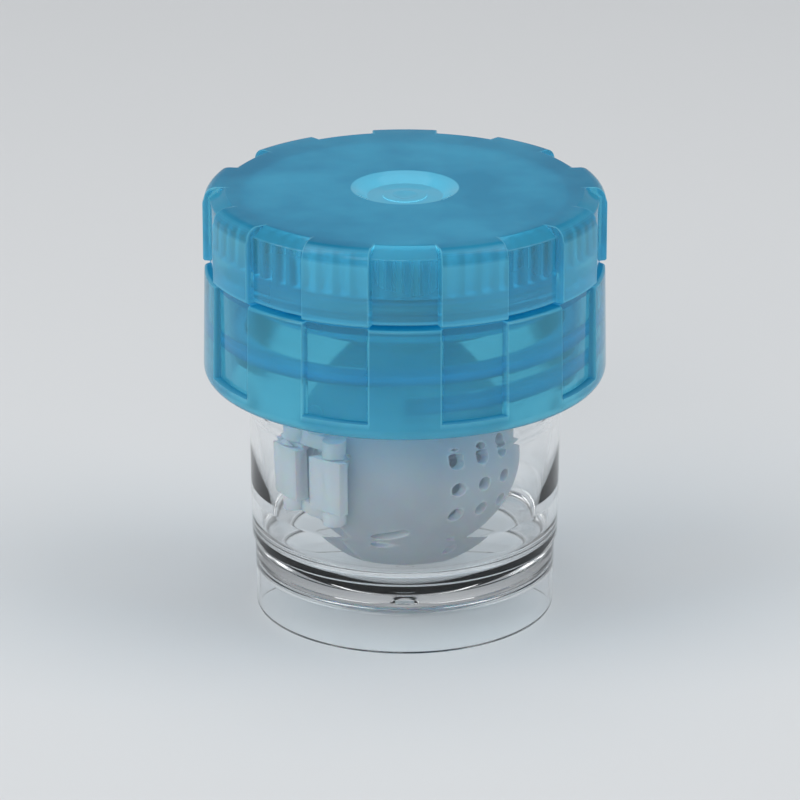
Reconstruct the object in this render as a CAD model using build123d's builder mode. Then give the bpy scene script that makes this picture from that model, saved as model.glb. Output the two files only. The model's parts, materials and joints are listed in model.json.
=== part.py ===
"""Hand-turned contact lens washer: clear cup, screw collar, turning cap, gear train, ball basket.

Frame: +Z up, origin at the centre of the cup's base ring, front of the object towards -Y.
All sizes are in millimetres, all angles in degrees.
"""
from build123d import *
from math import acos, cos, pi, radians, sin, sqrt, tan
import os

os.makedirs("parts", exist_ok=True)

full_turn = 360.0
front_angle = -90.0  # the front of the object, round the Z axis from +X

# ---- clearances -------------------------------------------------------------------------
running_gap = 0.05  # radial gap of a turning fit
seat_gap = 0.05  # axial gap between pieces that rest on each other
face_gap = 0.3  # axial gap beside turning faces
cap_gap = 0.35  # open joint seen between collar and cap

# ---- cup --------------------------------------------------------------------------------
base_radius = 17.2  # foot of the skirt
skirt_wall = 1.2
skirt_height = 8.4
skirt_draft = 0.1  # growth of the skirt's radius up to the step
step_out = 0.35  # step from the skirt to the chamber
step_height = 0.3
chamber_height = 19.1  # from the step up to the collar
cup_wall = 1.4
cup_draft = 0.25  # growth of the chamber's radius up to the collar
neck_height = 10.4  # inside the collar
floor_z = 3.6  # lowest point of the dished floor, inside
floor_dish_radius = 25.0
floor_thickness = 1.5  # at the centre
underside_dish_radius = 36.0
bowl_corner = 3.0  # fillet between the dished floor and the wall
root_corner = 1.0  # fillet between the floor's underside and the skirt
lip_round = 0.4
gate_radius = 1.1  # moulding gate under the floor
gate_height = 0.4

# ---- collar -----------------------------------------------------------------------------
thread_height = 2.1  # radial room for the thread between cup neck and collar
collar_wall = 3.0  # from that room to the outside, just above the bottom round
collar_draft = 0.25  # loss of radius up to the top edge
collar_bottom_round = 1.5
collar_top_round = 0.4
panel_count = 9
window_width = 18.0  # degrees, at the bottom of the recess
window_flare = 2.0  # degrees that each side leans out over twice the recess's depth
window_depth = 0.85
window_sill = 2.2  # height of the sill above the collar's lower edge
deck_thickness = 1.6
rim_drop = 0.2  # from the deck's top down to the collar's top edge
gasket_thickness = 1.2
gasket_width = 2.4
spigot_height = 2.3  # ring that carries the cap
spigot_wall = 1.5
bead_height = 0.3  # snap bead round the spigot
bead_width = 0.9

# ---- cap --------------------------------------------------------------------------------
cap_height = 8.75
lobe_setback = 0.1  # from the collar's outside in to the lobes
lobe_draft = 0.2
lobe_width = 20.7  # degrees
lobe_flare = 0.9  # degrees that each side of a lobe widens to its root
lobe_round = 1.5  # top edge of a lobe
lobe_side_round = 0.35
panel_depth = 0.9
bevel_width = 1.7  # between the top and a panel
bevel_height = 1.1
cap_roof = 1.7
cap_wall = 1.95  # skirt wall behind a panel, below the ring gear
dimple_radius = 6.1
dimple_floor_radius = 4.3
dimple_depth = 1.0
dimple_step_radius = 5.4
dimple_step_depth = 0.35
dimple_ring_radius = 2.5
dimple_ring_depth = 0.12
dimple_pip_radius = 1.4
dimple_pip_depth = 0.3

# ---- gear train -------------------------------------------------------------------------
ring_ledge = 0.4  # from the cap's bore in to the roots of the ring gear
pressure_angle = 20.0
ring_teeth = 63
planet_teeth = 24
sun_teeth = 15
planet_count = 3
addendum = 1.0  # in modules
dedendum = 1.25  # in modules
backlash = 0.05  # taken off each flank, along the pitch circle
ring_space_angle = -89.23  # one tooth space of the ring, just right of the front
first_planet_angle = 30.0
gear_face = 3.6
ring_face = 3.9
post_radius = 1.5
post_shoulder = 1.1  # radial width of the seat under a planet
planet_hub = 1.3
planet_rim = 1.2
planet_recess = 0.9
sun_hub = 3.3
sun_hub_height = 0.4

# ---- spindle and its seal ---------------------------------------------------------------
spindle_radius = 2.5
bush_wall = 2.7
bush_drop = 2.4  # length of the bush below the deck
seal_section = 1.5
washer_thickness = 0.8
seal_fit = 0.03
drive_sides = 6
drive_across_flats = 3.4  # hexagon under the sun gear and in the basket hub
drive_fit = 0.04
spindle_flange = 1.1
spindle_flange_thickness = 0.9
screw_radius = 0.9
screw_length = 5.0
screw_head_radius = 1.9
screw_head_height = 0.9
screw_head_chamfer = 0.2
screw_slot = 0.5

# ---- basket -----------------------------------------------------------------------------
basket_turn = 43.0  # how far the front door faces to the right of the front
hinge_room = 3.25  # from the ball to the cup's wall
ball_gap = 1.45  # from the ball to the cup's floor
door_wall = 1.1
rim_half = 1.4  # half thickness of the frame's ring
door_seat = 0.1  # gap between the frame's ring and a door's rim
frame_ring_width = 1.8
web_thickness = 1.2
lens_base_curve = 8.4  # radius of the seat that a lens lies on
lens_seat_radius = 6.8
web_hole_radius = 0.9
web_hole_count = 8
seat_hole_circle = 3.6
seat_hole_count = 4
vent_radius = 0.88
vent_pitch = 3.45
vent_rows = 3
drain_length = 2.6
drain_width = 1.3
drain_inset = 2.3  # from the ball's outline in to the middle of the drain slot
drain_turn = -145.0  # turned down from the side away from the hinges
sink_radius = 0.7
sink_ring = 8.4  # distance of the small drain hole from the door's axis
sink_turn = -107.0
hub_radius = 3.8
hub_web = 2.0

# ---- hinges and latches -----------------------------------------------------------------
pin_offset = 3.3  # from the basket's middle plane
pin_standoff = 0.7  # from the ball's outline out to the pin
pin_radius = 0.7
knuckle_rise = 0.85  # middle of the hinge above the ball's centre
knuckle_height = 6.5
knuckle_radius = 1.45
knuckle_tail = 2.2  # half width of the knuckle's outer face
knuckle_reach = 1.6  # from the pin to the door's shell
basket_gap = 0.65  # from the hinges to the cup's wall
knuckle_wall = 1.2
lug_radius = 1.3
lug_thickness = 1.6
lug_gap = 0.2
latch_height = 4.0
latch_depth = 0.7  # thickness of the finger that hooks over the frame's ring
latch_root = 1.7  # how far the latch runs up the door
latch_gap = 0.2  # between the finger and the ring, and between the two doors' fingers

# ---- worked-out sizes -------------------------------------------------------------------
panel_pitch = full_turn / panel_count
first_panel_angle = front_angle + panel_pitch / 2
skirt_top_radius = base_radius + skirt_draft
chamber_radius = skirt_top_radius + step_out
neck_radius = chamber_radius + cup_draft
step_z = skirt_height + step_height
collar_bottom_z = step_z + chamber_height
cup_lip_z = collar_bottom_z + neck_height
skirt_inner = base_radius - skirt_wall
chamber_inner = chamber_radius - cup_wall
neck_inner = neck_radius - cup_wall

collar_bore = neck_radius + thread_height
collar_radius = collar_bore + collar_wall
collar_top_radius = collar_radius - collar_draft
window_floor_radius = collar_radius - window_depth
window_sill_z = collar_bottom_z + window_sill
gasket_z = cup_lip_z + seat_gap
deck_z = gasket_z + gasket_thickness + seat_gap
deck_top_z = deck_z + deck_thickness
post_root_z = deck_z + deck_thickness / 2
collar_top_z = deck_top_z - rim_drop
gasket_mid_radius = (neck_radius + neck_inner) / 2

cap_bottom_z = collar_top_z + cap_gap
cap_top_z = cap_bottom_z + cap_height
lobe_radius = collar_radius - lobe_setback
panel_radius = lobe_radius - panel_depth
cap_bore = panel_radius - cap_wall
spigot_radius = cap_bore - running_gap
spigot_top_z = collar_top_z + spigot_height
bead_z = (cap_bottom_z + spigot_top_z) / 2
roof_z = cap_top_z - cap_roof
dimple_floor_z = cap_top_z - dimple_depth

ring_root_radius = cap_bore - ring_ledge
gear_module = ring_root_radius / (ring_teeth / 2 + dedendum)
ring_tip_radius = gear_module * (ring_teeth / 2 - addendum)
planet_pitch_radius = gear_module * planet_teeth / 2
sun_pitch_radius = gear_module * sun_teeth / 2
planet_orbit = sun_pitch_radius + planet_pitch_radius
ring_top_z = roof_z
ring_bottom_z = ring_top_z - gear_module - ring_face
planet_bottom_z = ring_bottom_z + seat_gap + face_gap / 2
planet_top_z = planet_bottom_z + gear_face
planet_bore = post_radius + running_gap

bush_radius = spindle_radius + running_gap + bush_wall
bush_bottom_z = deck_z - bush_drop
gland_radius = spindle_radius + running_gap + seal_section
gland_z = deck_top_z + seat_gap
washer_z = gland_z + seal_section + 2 * seal_fit
washer_top_z = washer_z + washer_thickness
sun_bottom_z = washer_top_z + face_gap / 2
sun_top_z = planet_top_z
drive_bore = drive_across_flats + 2 * drive_fit
flange_top_z = bush_bottom_z - face_gap / 2
flange_z = flange_top_z - spindle_flange_thickness
screw_head_z = sun_top_z - screw_head_height
ball_radius = chamber_inner - hinge_room
ball_z = floor_z + ball_gap + ball_radius
hub_socket_z = ball_z + ball_radius
hub_top_z = flange_z - seat_gap

turn = radians(basket_turn)
door_axis = Vector(sin(turn), -cos(turn), 0)  # the front door faces this way
hinge_side = Vector(-cos(turn), -sin(turn), 0)  # the hinges lie on this side
ball_centre = Vector(0, 0, ball_z)
door_face = rim_half + door_seat
web_hole_circle = (lens_seat_radius + ball_radius - frame_ring_width) / 2
drain_ring = ball_radius - drain_inset
pin_reach = ball_radius + pin_standoff
knuckle_z = ball_z + knuckle_rise
knuckle_sweep = chamber_inner - basket_gap


def dish_height(radius, dish_radius):
    """How far a spherical dish has risen at this distance from its axis."""
    return dish_radius - sqrt(dish_radius**2 - radius**2)


def nearest_corner(sketch, radius, height):
    """Corner of a revolved section that lies nearest to this radius and height."""
    return sketch.vertices().sort_by_distance(Vector(radius, height, 0))[0]


def side_plane(side, offset=0.0):
    """Plane facing out of the front (+1) or back (-1) of the basket, x away from the hinges."""
    return Plane(
        origin=ball_centre + door_axis * (side * offset),
        x_dir=hinge_side * -1,
        z_dir=door_axis * side,
    )


def plan_plane(z):
    """Level plane at this height, x away from the hinges and y out of the basket's back."""
    return Plane(origin=(0, 0, z), x_dir=hinge_side * -1, z_dir=(0, 0, 1))


# ---- gears ------------------------------------------------------------------------------
def half_tooth_angle(radius, teeth, thinning):
    """Half the angle that an involute tooth fills at this radius, in radians."""
    pitch_radius = gear_module * teeth / 2
    base = pitch_radius * cos(radians(pressure_angle))
    at_pitch = tan(radians(pressure_angle)) - radians(pressure_angle)
    slope = acos(min(1.0, base / radius))
    return pi / (2 * teeth) - thinning / pitch_radius + at_pitch - (tan(slope) - slope)


def polar_point(radius, angle):
    return (radius * cos(angle), radius * sin(angle))


def gear_outline(teeth, tip_radius, root_radius, phase, thinning):
    """Face of an involute gear with one tooth's middle at the phase angle, centred on its axis."""
    pitch = 2 * pi / teeth
    middle_radius = (tip_radius + root_radius) / 2
    half_root = half_tooth_angle(root_radius, teeth, thinning)
    half_middle = half_tooth_angle(middle_radius, teeth, thinning)
    half_tip = half_tooth_angle(tip_radius, teeth, thinning)
    with BuildSketch() as gear:
        with BuildLine():
            for tooth in range(teeth):
                centre = radians(phase) + tooth * pitch
                rise = ThreePointArc(
                    polar_point(root_radius, centre - half_root),
                    polar_point(middle_radius, centre - half_middle),
                    polar_point(tip_radius, centre - half_tip),
                )
                fall = ThreePointArc(
                    polar_point(tip_radius, centre + half_tip),
                    polar_point(middle_radius, centre + half_middle),
                    polar_point(root_radius, centre + half_root),
                )
                Line(rise @ 1, fall @ 0)
                Line(fall @ 1, polar_point(root_radius, centre + pitch - half_root))
        make_face()
    return gear.sketch


def planet_phase(angle):
    """Tooth angle of the planet on this arm, which puts a tooth in the ring's space."""
    return angle + (ring_space_angle - angle) * ring_teeth / planet_teeth


def sun_phase():
    """Tooth angle of the sun gear, which puts a tooth in the first planet's space."""
    angle = first_planet_angle
    half_step = full_turn / 2 / planet_teeth
    turned = angle + full_turn / 2 - half_step - planet_phase(angle)
    return angle + turned * planet_teeth / sun_teeth


# ---- cup --------------------------------------------------------------------------------
floor_edge_z = floor_z + dish_height(chamber_inner, floor_dish_radius)
underside_z = floor_z - floor_thickness
underside_edge_z = underside_z + dish_height(skirt_inner, underside_dish_radius)

with BuildPart() as cup:
    with BuildSketch(Plane.XZ) as section:
        with BuildLine():
            Line((0, underside_z), (0, floor_z))
            ThreePointArc(
                (0, floor_z),
                (chamber_inner / 2, floor_z + dish_height(chamber_inner / 2, floor_dish_radius)),
                (chamber_inner, floor_edge_z),
            )
            Line((chamber_inner, floor_edge_z), (neck_inner, collar_bottom_z))
            Line((neck_inner, collar_bottom_z), (neck_inner, cup_lip_z))
            Line((neck_inner, cup_lip_z), (neck_radius, cup_lip_z))
            Line((neck_radius, cup_lip_z), (neck_radius, collar_bottom_z))
            Line((neck_radius, collar_bottom_z), (chamber_radius, step_z))
            Line((chamber_radius, step_z), (skirt_top_radius, skirt_height))
            Line((skirt_top_radius, skirt_height), (base_radius, 0))
            Line((base_radius, 0), (skirt_inner, 0))
            Line((skirt_inner, 0), (skirt_inner, underside_edge_z))
            ThreePointArc(
                (skirt_inner, underside_edge_z),
                (skirt_inner / 2, underside_z + dish_height(skirt_inner / 2, underside_dish_radius)),
                (0, underside_z),
            )
        make_face()
        fillet(nearest_corner(section, chamber_inner, floor_edge_z), bowl_corner)
        fillet(nearest_corner(section, skirt_inner, underside_edge_z), root_corner)
        fillet(section.vertices().group_by(Axis.Y)[-1], lip_round)
    revolve(axis=Axis.Z)
    with BuildSketch(Plane.XY.offset(underside_z - gate_height)):
        Circle(gate_radius)
    extrude(amount=floor_thickness)
cup.part.label = "cup"

with BuildPart() as cup_gasket:
    with BuildSketch(Plane.XY.offset(gasket_z)):
        Circle(gasket_mid_radius + gasket_width / 2)
        Circle(gasket_mid_radius - gasket_width / 2, mode=Mode.SUBTRACT)
    extrude(amount=gasket_thickness)
cup_gasket.part.label = "cup_gasket"

# ---- collar -----------------------------------------------------------------------------
with BuildPart() as screw_collar:
    with BuildSketch(Plane.XZ) as section:
        with BuildLine():
            Polyline(
                (collar_bore, collar_bottom_z),
                (collar_radius, collar_bottom_z),
                (collar_top_radius, collar_top_z),
                (spigot_radius, collar_top_z),
                (spigot_radius, bead_z - bead_width / 2),
                (spigot_radius + bead_height, bead_z),
                (spigot_radius, bead_z + bead_width / 2),
                (spigot_radius, spigot_top_z),
                (spigot_radius - spigot_wall, spigot_top_z),
                (spigot_radius - spigot_wall, deck_top_z),
                (bush_radius, deck_top_z),
                (bush_radius, washer_top_z),
                (gland_radius, washer_top_z),
                (gland_radius, gland_z),
                (spindle_radius + running_gap, gland_z),
                (spindle_radius + running_gap, bush_bottom_z),
                (bush_radius, bush_bottom_z),
                (bush_radius, deck_z),
                (collar_bore, deck_z),
                close=True,
            )
        make_face()
        fillet(nearest_corner(section, collar_radius, collar_bottom_z), collar_bottom_round)
        fillet(nearest_corner(section, collar_top_radius, collar_top_z), collar_top_round)
    revolve(axis=Axis.Z)
    with BuildSketch(Plane.XY.offset(window_sill_z)):
        for panel in range(panel_count):
            start = first_panel_angle + panel * panel_pitch - window_width / 2
            with BuildLine():
                bottom = CenterArc((0, 0), window_floor_radius, start, window_width)
                mouth = CenterArc(
                    (0, 0),
                    window_floor_radius + 2 * window_depth,
                    start - window_flare,
                    window_width + 2 * window_flare,
                )
                Line(bottom @ 0, mouth @ 0)
                Line(bottom @ 1, mouth @ 1)
            make_face()
    extrude(amount=collar_top_z - window_sill_z + collar_top_round, mode=Mode.SUBTRACT)
    with BuildSketch(Plane.XY.offset(post_root_z)):
        with PolarLocations(planet_orbit, planet_count, first_planet_angle):
            Circle(post_radius + post_shoulder)
    extrude(amount=planet_bottom_z - seat_gap - post_root_z)
    with BuildSketch(Plane.XY.offset(post_root_z)):
        with PolarLocations(planet_orbit, planet_count, first_planet_angle):
            Circle(post_radius)
    extrude(amount=planet_top_z - post_root_z)
screw_collar.part.label = "screw_collar"

# ---- turning cap ------------------------------------------------------------------------
with BuildPart() as turning_cap:
    with BuildSketch(Plane.XZ):
        with BuildLine():
            Polyline(
                (0, cap_bottom_z),
                (panel_radius, cap_bottom_z),
                (panel_radius, cap_top_z - bevel_height),
                (panel_radius - bevel_width, cap_top_z),
                (0, cap_top_z),
                close=True,
            )
        make_face()
    revolve(axis=Axis.Z)
    with BuildSketch(Plane.XY.offset(cap_bottom_z)) as lobes:
        for panel in range(panel_count):
            start = first_panel_angle + panel * panel_pitch - lobe_width / 2
            with BuildLine():
                crest = CenterArc((0, 0), lobe_radius, start, lobe_width)
                root = CenterArc(
                    (0, 0), cap_bore, start - lobe_flare, lobe_width + 2 * lobe_flare
                )
                Line(crest @ 0, root @ 0)
                Line(crest @ 1, root @ 1)
            make_face()
        fillet(lobes.vertices(), lobe_side_round)
    extrude(amount=cap_height)
    with BuildSketch(Plane.XZ) as envelope:
        with BuildLine():
            Polyline(
                (0, cap_bottom_z),
                (lobe_radius, cap_bottom_z),
                (lobe_radius - lobe_draft, cap_top_z),
                (0, cap_top_z),
                close=True,
            )
        make_face()
        fillet(nearest_corner(envelope, lobe_radius - lobe_draft, cap_top_z), lobe_round)
    revolve(axis=Axis.Z, mode=Mode.INTERSECT)
    with BuildSketch(Plane.XZ):
        with BuildLine():
            Polyline(
                (0, cap_bottom_z),
                (cap_bore, cap_bottom_z),
                (cap_bore, bead_z - bead_width / 2 - seat_gap),
                (cap_bore + bead_height, bead_z),
                (cap_bore, bead_z + bead_width / 2 + seat_gap),
                (cap_bore, ring_bottom_z),
                (0, ring_bottom_z),
                close=True,
            )
        make_face()
    revolve(axis=Axis.Z, mode=Mode.SUBTRACT)
    with BuildSketch(Plane.XY.offset(ring_bottom_z)):
        add(gear_outline(ring_teeth, ring_root_radius, ring_tip_radius, ring_space_angle, -backlash))
    extrude(amount=ring_top_z - ring_bottom_z, mode=Mode.SUBTRACT)
    with BuildSketch(Plane.XZ):
        with BuildLine():
            Polyline(
                (0, cap_top_z + dimple_depth),
                (dimple_radius, cap_top_z + dimple_depth),
                (dimple_radius, cap_top_z),
                (dimple_step_radius, cap_top_z - dimple_step_depth),
                (dimple_floor_radius, dimple_floor_z),
                (dimple_ring_radius, dimple_floor_z),
                (dimple_ring_radius, dimple_floor_z + dimple_ring_depth),
                (dimple_pip_radius, dimple_floor_z + dimple_ring_depth),
                (0, dimple_floor_z - dimple_pip_depth),
                close=True,
            )
        make_face()
    revolve(axis=Axis.Z, mode=Mode.SUBTRACT)
turning_cap.part.label = "turning_cap"

# ---- gears on the deck ------------------------------------------------------------------
planet_tip_radius = planet_pitch_radius + addendum * gear_module
planet_root_radius = planet_pitch_radius - dedendum * gear_module
planet_gears = []
for planet in range(planet_count):
    arm_angle = first_planet_angle + planet * full_turn / planet_count
    post = Vector(planet_orbit, 0, 0).rotate(Axis.Z, arm_angle)
    with BuildPart() as planet_gear:
        with BuildSketch(Plane(origin=post + Vector(0, 0, planet_bottom_z))):
            phase = planet_phase(arm_angle)
            add(gear_outline(planet_teeth, planet_tip_radius, planet_root_radius, phase, backlash))
            Circle(planet_bore, mode=Mode.SUBTRACT)
        extrude(amount=gear_face)
        for recess_z in (planet_bottom_z, planet_top_z - planet_recess):
            with BuildSketch(Plane(origin=post + Vector(0, 0, recess_z))):
                Circle(planet_root_radius - planet_rim)
                Circle(planet_bore + planet_hub, mode=Mode.SUBTRACT)
            extrude(amount=planet_recess, mode=Mode.SUBTRACT)
    planet_gear.part.label = f"planet_gear_{planet + 1}"
    planet_gears.append(planet_gear)

sun_tip_radius = sun_pitch_radius + addendum * gear_module
sun_root_radius = sun_pitch_radius - dedendum * gear_module
with BuildPart() as sun_gear:
    with BuildSketch(Plane.XY.offset(sun_bottom_z)):
        Circle(sun_hub)
    extrude(amount=sun_hub_height)
    with BuildSketch(Plane.XY.offset(sun_bottom_z + sun_hub_height)):
        add(gear_outline(sun_teeth, sun_tip_radius, sun_root_radius, sun_phase(), backlash))
    extrude(amount=sun_top_z - sun_bottom_z - sun_hub_height)
    with BuildSketch(Plane.XY.offset(sun_bottom_z)):
        RegularPolygon(drive_bore / 2, drive_sides, major_radius=False, rotation=basket_turn)
    extrude(amount=sun_top_z - sun_bottom_z, mode=Mode.SUBTRACT)
    with BuildSketch(Plane.XY.offset(screw_head_z)):
        Circle(screw_head_radius + drive_fit)
    extrude(amount=screw_head_height, mode=Mode.SUBTRACT)
sun_gear.part.label = "sun_gear"

# ---- spindle, seal, washer and screw ----------------------------------------------------
with BuildPart() as spindle:
    with BuildSketch(Plane.XY.offset(hub_socket_z)):
        RegularPolygon(drive_across_flats / 2, drive_sides, major_radius=False, rotation=basket_turn)
    extrude(amount=screw_head_z - hub_socket_z)
    with BuildSketch(Plane.XY.offset(flange_z)):
        Circle(spindle_radius)
    extrude(amount=sun_bottom_z - seat_gap - flange_z)
    with BuildSketch(Plane.XY.offset(flange_z)):
        Circle(spindle_radius + spindle_flange)
    extrude(amount=spindle_flange_thickness)
    with BuildSketch(Plane.XY.offset(screw_head_z)):
        Circle(screw_radius + seal_fit)
    extrude(amount=-screw_length - seat_gap, mode=Mode.SUBTRACT)
spindle.part.label = "spindle"

with BuildPart() as shaft_seal:
    seal_centre_radius = spindle_radius + running_gap + seal_section / 2
    with BuildSketch(Plane.XZ):
        with Locations((seal_centre_radius, gland_z + seal_section / 2 + seal_fit)):
            Circle(seal_section / 2 - seal_fit)
    revolve(axis=Axis.Z)
shaft_seal.part.label = "shaft_seal"

with BuildPart() as seal_washer:
    with BuildSketch(Plane.XY.offset(washer_z)):
        Circle(gland_radius - seal_fit)
        Circle(spindle_radius + running_gap, mode=Mode.SUBTRACT)
    extrude(amount=washer_thickness)
seal_washer.part.label = "seal_washer"

with BuildPart() as spindle_screw:
    with BuildSketch(Plane.XY.offset(screw_head_z)):
        Circle(screw_head_radius)
    extrude(amount=screw_head_height)
    chamfer(spindle_screw.faces().sort_by(Axis.Z)[-1].edges(), screw_head_chamfer)
    with BuildSketch(Plane.XY.offset(screw_head_z)):
        Circle(screw_radius)
    extrude(amount=-screw_length)
    with BuildSketch(Plane.XY.offset(sun_top_z)):
        Rectangle(screw_head_radius, screw_slot)
        Rectangle(screw_slot, screw_head_radius)
    extrude(amount=-screw_head_height / 2, mode=Mode.SUBTRACT)
spindle_screw.part.label = "spindle_screw"

# ---- basket frame -----------------------------------------------------------------------
lens_seat_height = dish_height(lens_seat_radius, lens_base_curve)
pin_length = knuckle_height + 2 * lug_gap
lower_lug_z = knuckle_z - pin_length / 2 - lug_thickness
upper_lug_z = knuckle_z + pin_length / 2

with BuildPart() as basket_frame:
    with BuildSketch(side_plane(1, -rim_half)):
        Circle(ball_radius)
        Circle(ball_radius - frame_ring_width, mode=Mode.SUBTRACT)
    extrude(amount=2 * rim_half)
    with BuildSketch(side_plane(1, -web_thickness / 2)):
        Circle(ball_radius - frame_ring_width / 2)
    extrude(amount=web_thickness)
    for side in (1, -1):
        with BuildSketch(Plane(origin=ball_centre, x_dir=door_axis * side, z_dir=hinge_side * side)):
            with BuildLine():
                seat_edge = web_thickness / 2
                seat_crown = seat_edge + lens_seat_height
                Line((0, 0), (seat_crown, 0))
                RadiusArc((seat_crown, 0), (seat_edge, lens_seat_radius), -lens_base_curve)
                Line((seat_edge, lens_seat_radius), (0, lens_seat_radius))
                Line((0, lens_seat_radius), (0, 0))
            make_face()
        revolve(axis=Axis(ball_centre, door_axis))
    with BuildSketch(side_plane(1, -rim_half)):
        with PolarLocations(web_hole_circle, web_hole_count, full_turn / web_hole_count / 2):
            Circle(web_hole_radius)
    extrude(amount=2 * rim_half, mode=Mode.SUBTRACT)
    with BuildSketch(side_plane(1, -web_thickness - lens_seat_height)):
        with PolarLocations(seat_hole_circle, seat_hole_count):
            Circle(web_hole_radius)
    extrude(amount=2 * (web_thickness + lens_seat_height), mode=Mode.SUBTRACT)
    with BuildSketch(plan_plane(ball_z + ball_radius - hub_web)):
        Circle(hub_radius)
    extrude(amount=hub_top_z - ball_z - ball_radius + hub_web)
    with BuildSketch(plan_plane(hub_socket_z - seat_gap)):
        RegularPolygon(drive_bore / 2, drive_sides, major_radius=False)
    extrude(amount=hub_top_z - hub_socket_z + seat_gap, mode=Mode.SUBTRACT)
    for lug_z in (lower_lug_z, upper_lug_z):
        with BuildSketch(plan_plane(lug_z)):
            with Locations((-pin_reach, pin_offset), (-pin_reach, -pin_offset)):
                Circle(lug_radius)
            with BuildLine():
                Polyline(
                    (-ball_radius + frame_ring_width, rim_half),
                    (-ball_radius, rim_half),
                    (-pin_reach, pin_offset),
                    (-pin_reach - lug_radius / 2, 0),
                    (-pin_reach, -pin_offset),
                    (-ball_radius, -rim_half),
                    (-ball_radius + frame_ring_width, -rim_half),
                    close=True,
                )
            make_face()
        extrude(amount=lug_thickness)
    with BuildSketch(plan_plane(lower_lug_z + lug_thickness / 2)):
        with Locations((-pin_reach, pin_offset), (-pin_reach, -pin_offset)):
            Circle(pin_radius)
    extrude(amount=pin_length + lug_thickness)
basket_frame.part.label = "basket_frame"

# ---- lens doors -------------------------------------------------------------------------
door_inner = ball_radius - door_wall
doors = []
for side, door_name in ((1, "lens_door_front"), (-1, "lens_door_back")):
    with BuildPart() as lens_door:
        with BuildSketch(Plane(origin=ball_centre, x_dir=door_axis * side, z_dir=hinge_side * side)):
            with BuildLine():
                outer_edge = sqrt(ball_radius**2 - door_face**2)
                inner_edge = sqrt(door_inner**2 - door_face**2)
                RadiusArc((ball_radius, 0), (door_face, outer_edge), -ball_radius)
                Line((door_face, outer_edge), (door_face, inner_edge))
                RadiusArc((door_face, inner_edge), (door_inner, 0), door_inner)
                Line((door_inner, 0), (ball_radius, 0))
            make_face()
        revolve(axis=Axis(ball_centre, door_axis))
        with BuildSketch(side_plane(side)):
            with GridLocations(vent_pitch, vent_pitch, vent_rows, vent_rows):
                Circle(vent_radius)
            with PolarLocations(drain_ring, 1, side * drain_turn):
                SlotOverall(drain_length, drain_width)
            with PolarLocations(sink_ring, 1, side * sink_turn):
                Circle(sink_radius)
        extrude(amount=ball_radius, mode=Mode.SUBTRACT)
        with BuildSketch(plan_plane(knuckle_z - knuckle_height / 2)):
            pin_y = -side * pin_offset
            with Locations((-pin_reach, pin_y)):
                Circle(knuckle_radius)
                Rectangle(2 * knuckle_reach, knuckle_wall, align=(Align.MIN, Align.CENTER))
                Rectangle(knuckle_reach, 2 * knuckle_tail, align=(Align.MAX, Align.CENTER))
            with Locations((-pin_reach + knuckle_reach, pin_y)):
                Rectangle(ball_radius, ball_radius, align=(Align.MIN, Align.CENTER), mode=Mode.SUBTRACT)
            Circle(knuckle_sweep, mode=Mode.INTERSECT)
            with Locations((-pin_reach, pin_y)):
                Circle(pin_radius + running_gap, mode=Mode.SUBTRACT)
        extrude(amount=knuckle_height)
        with BuildSketch(plan_plane(ball_z - latch_height / 2)):
            finger_x = ball_radius + latch_gap
            face_y = -side * door_face
            root_y = -side * (door_face + latch_root)
            tip_y = -side * latch_gap
            with BuildLine():
                Polyline(
                    (ball_radius - door_wall / 2, face_y),
                    (finger_x, face_y),
                    (finger_x, tip_y),
                    (finger_x + latch_depth, tip_y),
                    (finger_x + latch_depth, root_y),
                    (ball_radius - door_wall / 2, root_y),
                    close=True,
                )
            make_face()
        extrude(amount=latch_height)
        with BuildSketch(plan_plane(ball_z)):
            Circle(hub_radius + face_gap)
        extrude(amount=ball_radius, mode=Mode.SUBTRACT)
    lens_door.part.label = door_name
    doors.append(lens_door)

# ---- one file per piece -----------------------------------------------------------------
export_step(cup.part, "parts/cup.step")
export_step(cup_gasket.part, "parts/cup_gasket.step")
export_step(screw_collar.part, "parts/screw_collar.step")
export_step(turning_cap.part, "parts/turning_cap.step")
export_step(sun_gear.part, "parts/sun_gear.step")
for planet_gear in planet_gears:
    export_step(planet_gear.part, f"parts/{planet_gear.part.label}.step")
export_step(shaft_seal.part, "parts/shaft_seal.step")
export_step(seal_washer.part, "parts/seal_washer.step")
export_step(spindle.part, "parts/spindle.step")
export_step(spindle_screw.part, "parts/spindle_screw.step")
export_step(basket_frame.part, "parts/basket_frame.step")
for lens_door in doors:
    export_step(lens_door.part, f"parts/{lens_door.part.label}.step")
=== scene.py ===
import json
from math import acos, atan2, cos, hypot, pi, radians, sin, sqrt, tan

import bmesh
import bpy
from mathutils import Matrix, Vector


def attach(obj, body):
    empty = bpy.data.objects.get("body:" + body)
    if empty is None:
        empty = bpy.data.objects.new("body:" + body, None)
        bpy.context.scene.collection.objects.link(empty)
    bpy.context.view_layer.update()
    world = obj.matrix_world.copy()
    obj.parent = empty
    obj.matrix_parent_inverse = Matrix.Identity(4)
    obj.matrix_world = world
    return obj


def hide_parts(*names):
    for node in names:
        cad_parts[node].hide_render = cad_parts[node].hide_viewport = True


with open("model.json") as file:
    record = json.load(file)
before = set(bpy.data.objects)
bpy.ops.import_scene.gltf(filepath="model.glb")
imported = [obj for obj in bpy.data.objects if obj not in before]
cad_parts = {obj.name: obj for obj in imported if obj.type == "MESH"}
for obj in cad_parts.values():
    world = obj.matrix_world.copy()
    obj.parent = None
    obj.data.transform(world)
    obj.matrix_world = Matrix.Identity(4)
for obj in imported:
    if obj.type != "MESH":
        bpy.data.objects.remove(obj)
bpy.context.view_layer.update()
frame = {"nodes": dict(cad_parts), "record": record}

# Sizes are in millimetres, as in the CAD source. mesh_piece() turns them into metres.
MM = 0.001
FRONT = -90.0  # the front of the object, in degrees round the Z axis from +X
COLUMNS = 240  # steps round a full turn
SHARP = 32.0  # degrees between faces from which their edge stays sharp
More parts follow.
